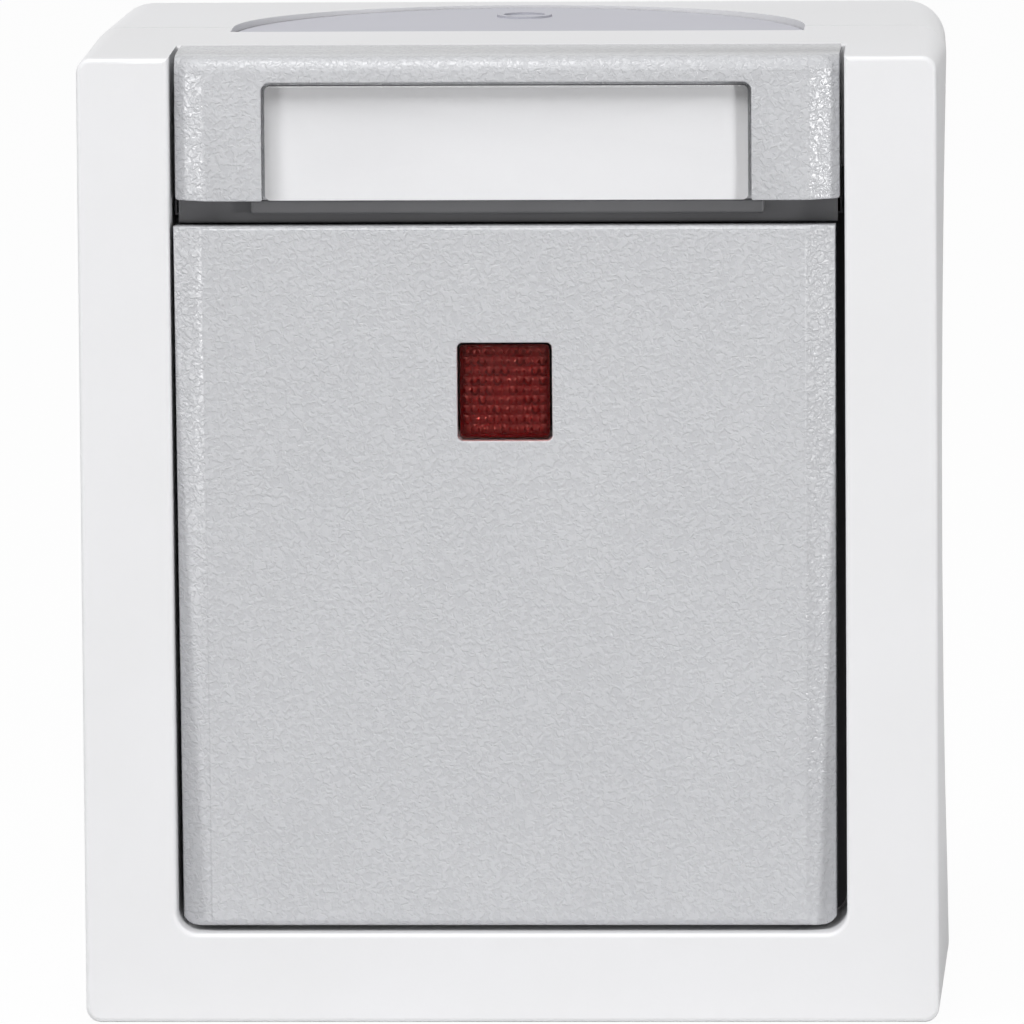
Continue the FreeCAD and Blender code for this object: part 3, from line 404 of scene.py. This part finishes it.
finishes = {
    "white_plastic": finish("white_moulding", satin, (0.77, 0.77, 0.78), (0.79, 0.79, 0.805), (0.34, 0.40),
                            0.004, {"Fine Scale": 2600.0}),
    "grey_grained": finish("grey_spark_grain", grain, (0.51, 0.515, 0.535), (0.60, 0.605, 0.625), (0.18, 0.26),
                           0.045),
    "soft_grey": finish("soft_grey_rubber", satin, (0.50, 0.50, 0.55), (0.54, 0.54, 0.59), (0.5, 0.6), 0.006),
    # dark rubber of the seal; on the window pane's side faces the same finish is painted shade
    "dark_rubber": finish("dark_seal_rubber_and_pane_shade", satin, (0.13, 0.13, 0.135), (0.155, 0.155, 0.16), (0.5, 0.62),
                          0.008),
    "label_card": finish("blank_card", satin, (0.93, 0.93, 0.935), (0.95, 0.95, 0.955), (0.7, 0.8), 0.004,
                         {"Fine Scale": 5000.0}),
    "clear_plastic": clearFinish("clear_window", (0.995, 0.995, 0.998), (0.02, 0.04), IOR=1.49),
    "red_lens": finish("red_prisms", satin, (0.030, 0.001, 0.001), (0.048, 0.001, 0.002), (0.1, 0.16),
                       clearBump, Specular_IOR_Level=0.5),
    "zinc_steel": finish("zinc_plated_steel", satin, (0.55, 0.56, 0.58), (0.68, 0.69, 0.70), (0.28, 0.42),
                         0.003, {"Stretch": 0.08}, Metallic=1.0),
    "spring_steel": finish("spring_wire", satin, (0.50, 0.50, 0.51), (0.62, 0.62, 0.63), (0.22, 0.34), 0.002,
                           Metallic=1.0),
    "brass": finish("rolled_brass", satin, (0.72, 0.52, 0.24), (0.82, 0.62, 0.32), (0.24, 0.38), 0.002,
                    {"Stretch": 0.08}, Metallic=1.0),
    "silver": finish("contact_silver", satin, (0.78, 0.77, 0.75), (0.88, 0.87, 0.85), (0.2, 0.32), 0.002,
                     Metallic=1.0),
    "insert_plastic": finish("insert_moulding", satin, (0.62, 0.62, 0.60), (0.66, 0.66, 0.64), (0.42, 0.5),
                             0.006),
    "mechanism_plastic": finish("mechanism_moulding", satin, (0.70, 0.70, 0.68), (0.75, 0.75, 0.73),
                                (0.4, 0.5), 0.006),
    "key_plastic": finish("key_moulding", satin, (0.30, 0.31, 0.33), (0.34, 0.35, 0.37), (0.4, 0.5), 0.006),
    "lamp_glass": clearFinish("lamp_bulb", (0.95, 0.93, 0.90), (0.02, 0.04), IOR=1.49),
}
lensSkin = clearFinish("red_clear_skin", (0.98, 0.50, 0.46), (0.03, 0.05), IOR=1.15)
print("finishes made:", len(finishes) + 1)


def dress(piece, slot, material=None):
    piece.data.materials.clear()
    piece.data.materials.append(material or finishes[slot])


# CAD nodes that keep their own mesh

for part in frame["record"]["subparts"]:
    nodes[part["node"]].material_slots[0].material = finishes[part["material_slot"]]
print("CAD nodes dressed")

makeCamera()
makeLamps()
makeRoom()
makeFloor()
print("camera, lamps and floor placed")


# Mouldings seen from close by: a copy of the CAD shape whose edges get a small radius

mouldings = {
    "rocker": {"body": "rocker", "slot": "grey_grained", "edge": 0.15, "crease": 0.2, "behind": -49.0},
    "label_strip": {"body": "housing", "slot": "grey_grained", "edge": 0.14, "crease": 0.2, "behind": -51.0},
    "sealing_membrane": {"body": "housing", "slot": "dark_rubber", "edge": 0.3, "crease": 0.3, "behind": -44.0},
}
# angles in degrees, lengths in mm: an edge past sharp gets the edge radius, a long one past crease the other
edgeRules = {"flat": 0.6, "crease": 22.0, "sharp": 36.0, "creaseLength": 8.0, "segments": 3}


def softened(node, settings):
    # sharp edges get the edge radius, the long shallow creases of the side bevels the crease radius
    piece = bpy.data.objects.new(node + "_moulded", nodes[node].data.copy())
    bpy.context.scene.collection.objects.link(piece)
    shape = bmesh.new()
    shape.from_mesh(piece.data)
    bmesh.ops.remove_doubles(shape, verts=shape.verts, dist=mergeWithin["cad"])
    bmesh.ops.dissolve_limit(shape, angle_limit=math.radians(edgeRules["flat"]),
                             verts=shape.verts, edges=shape.edges)
    weight = shape.edges.layers.float.new("bevel_weight_edge")
    for edge in shape.edges:
        if len(edge.link_faces) != 2 or max(v.co.y for v in edge.verts) > settings["behind"] * mm:
            continue
        angle = math.degrees(edge.calc_face_angle(0.0))
        if angle > edgeRules["sharp"]:
            edge[weight] = settings["edge"] / settings["crease"]
        elif angle > edgeRules["crease"] and edge.calc_length() > edgeRules["creaseLength"] * mm:
            edge[weight] = 1.0
    shape.to_mesh(piece.data)
    shape.free()
    smoothByAngle(piece, edgeRules["sharp"])
    bevel = piece.modifiers.new("edge round", "BEVEL")
    bevel.width = settings["crease"] * mm
    bevel.segments = edgeRules["segments"]
    bevel.limit_method = "WEIGHT"
    bevel.use_clamp_overlap = False
    bevel.harden_normals = True
    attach(piece, settings["body"])
    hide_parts(node)
    dress(piece, settings["slot"])


for node, settings in mouldings.items():
    softened(node, settings)
print("mouldings softened:", len(mouldings))


# Lens: a dark red bed of small cushions under a clear red skin

lensShape = {"halfX": 3.98, "halfZ": 4.18, "centreZ": 13.85, "corner": 0.35, "skin": 0.45, "edgeRound": 0.18,
             "columns": 11, "rows": 9, "border": 0.3, "prism": 0.36, "scatter": 0.5, "back": 3.0, "steps": 8,
             "below": 0.1, "skinGap": 0.02, "roundSteps": 5, "seed": 11}


def cornered(points, halfX, halfZ, radius, centreZ):
    # points past the corner circles are drawn back on to them
    x = points[:, 0]
    z = points[:, 2] - centreZ
    overX = np.abs(x) - (halfX - radius)
    overZ = np.abs(z) - (halfZ - radius)
    length = np.hypot(np.maximum(overX, 0), np.maximum(overZ, 0))
    shrink = np.where(length > radius, radius / np.maximum(length, 1e-9), 1.0)
    out = points.copy()
    out[:, 0] = np.where(overX > 0, np.sign(x) * (halfX - radius + overX * shrink), x)
    out[:, 2] = centreZ + np.where(overZ > 0, np.sign(z) * (halfZ - radius + overZ * shrink), z)
    return out


def makeLens():
    s = lensShape
    front = frontFace + s["below"]
    # prisms: across each cell the height is the product of two sine arches, times a height of its own
    countX = s["columns"] * s["steps"] + 1
    countZ = s["rows"] * s["steps"] + 1
    across = np.linspace(-1, 1, countX)
    along = np.linspace(-1, 1, countZ)
    u, v = np.meshgrid((across + 1) / 2 * s["columns"], (along + 1) / 2 * s["rows"])
    wave = np.abs(np.sin(np.pi * u) * np.sin(np.pi * v))
    draw = np.random.default_rng(s["seed"])
    own = draw.uniform(1 - s["scatter"], 1, (s["rows"] + 1, s["columns"] + 1)) \
        * draw.uniform(1 - s["scatter"] / 2, 1, (s["rows"] + 1, 1))
    height = s["prism"] * wave * own[np.floor(v).astype(int), np.floor(u).astype(int)]
    x = np.broadcast_to(across * (s["halfX"] - s["border"]), height.shape)
    z = np.broadcast_to(along[:, None] * (s["halfZ"] - s["border"]), height.shape)
    bed = front + s["skin"] + s["prism"]
    field = np.stack([x, bed - height, s["centreZ"] + z], axis=-1)
    # the field is framed by a flat border, a side wall and a back, each a ring of the same count
    count = countX * countZ
    index = np.arange(count).reshape(countZ, countX)
    rim = np.concatenate([index[0, :-1], index[:-1, -1], index[-1, :0:-1], index[:0:-1, 0]])
    edge = field.reshape(-1, 3)[rim]
    stretch = np.array([(s["halfX"] - s["below"]) / (s["halfX"] - s["border"]),
                        (s["halfZ"] - s["below"]) / (s["halfZ"] - s["border"])])
    outer = edge.copy()
    outer[:, 0] = edge[:, 0] * stretch[0]
    outer[:, 2] = s["centreZ"] + (edge[:, 2] - s["centreZ"]) * stretch[1]
    outer = cornered(outer, s["halfX"] - s["below"], s["halfZ"] - s["below"], s["corner"], s["centreZ"])
    outer[:, 1] = bed - s["prism"]
    behind = outer.copy()
    behind[:, 1] = front + s["back"]
    ring = np.arange(len(rim))
    table = np.stack([rim, count + ring, count + len(rim) + ring])
    walls = np.concatenate([table, table[:, :1]], axis=1)
    faces = quadsOf(index) + quadsOf(walls) + [table[2].tolist()]
    points = np.concatenate([field.reshape(-1, 3), outer, behind])
    prisms = meshPiece("lens_prisms", rested(points), faces)
    smoothByAngle(prisms)
    # skin: a slab with a rounded front edge that covers the prisms
    rings = roundedSlab(s["halfX"], s["halfZ"], s["corner"], s["edgeRound"], s["roundSteps"], front,
                        front + s["skin"] - s["skinGap"])
    rings[..., 2] += s["centreZ"]
    skin = lofted("lens_skin", rested(rings))
    smoothByAngle(skin)
    for piece in (prisms, skin):
        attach(piece, "rocker")
        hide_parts("lens")
    dress(prisms, "red_lens")
    dress(skin, "red_lens", lensSkin)


makeLens()
print("lens made")


# Seal lip: the soft edge in front of the seal's step, which reaches down to the rocker's top

sealLip = {"halfX": 29.2, "front": -50.9, "thick": 1.15, "top": 30.3, "low": 28.12, "tip": 0.25, "steps": 7,
           "squashed": 0.64}


def makeSealLip():
    # the section is a slab whose lower edge is half a circle, carried straight along X
    s = sealLip
    middle = s["front"] + s["thick"] / 2
    turn = np.linspace(math.pi, 2 * math.pi, s["steps"])
    y = np.concatenate([[s["front"]], middle + s["thick"] / 2 * np.cos(turn), [s["front"] + s["thick"]]])
    z = np.concatenate([[s["top"]], s["low"] + s["tip"] * (1 + np.sin(turn)), [s["top"]]])
    x = np.array([-s["halfX"], s["halfX"]])
    rings = np.stack([np.broadcast_to(x[:, None], (2, len(y))), np.broadcast_to(y, (2, len(y))),
                      np.broadcast_to(z, (2, len(y)))], axis=-1)
    lip = lofted("seal_lip", rings)
    smoothByAngle(lip)
    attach(lip, "housing")
    dress(lip, "dark_rubber")
    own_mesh(lip)


makeSealLip()
print("seal lip made")


# Label window: a clear pane whose side faces carry painted shade, an opaque dark finish in place of the dark
# look of clear edges

pane = {"halfX": 21.37, "low": 30.45, "high": 40.62, "front": -53.95, "back": -52.9, "corner": 0.5,
        "edgeRound": 0.2, "steps": 5, "sideLean": 0.05}


def makePane():
    # a rounded slab, and the faces that look aside get the dark rubber finish as painted shade
    s = pane
    rings = roundedSlab(s["halfX"], (s["high"] - s["low"]) / 2, s["corner"], s["edgeRound"], s["steps"],
                        s["front"], s["back"])
    rings[..., 2] += (s["high"] + s["low"]) / 2
    piece = lofted("window_pane", rings)
    smoothByAngle(piece)
    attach(piece, "housing")
    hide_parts("label_window")
    dress(piece, "clear_plastic")
    # painted shade: the pane's side faces take the opaque dark rubber finish
    piece.data.materials.append(finishes["dark_rubber"])
    normals = np.zeros(len(piece.data.polygons) * 3)
    piece.data.polygons.foreach_get("normal", normals)
    paintedShadeSides = np.abs(normals.reshape(-1, 3)[:, 1]) < s["sideLean"]
    piece.data.polygons.foreach_set("material_index", paintedShadeSides.astype(np.int32))


makePane()
print("window pane made")
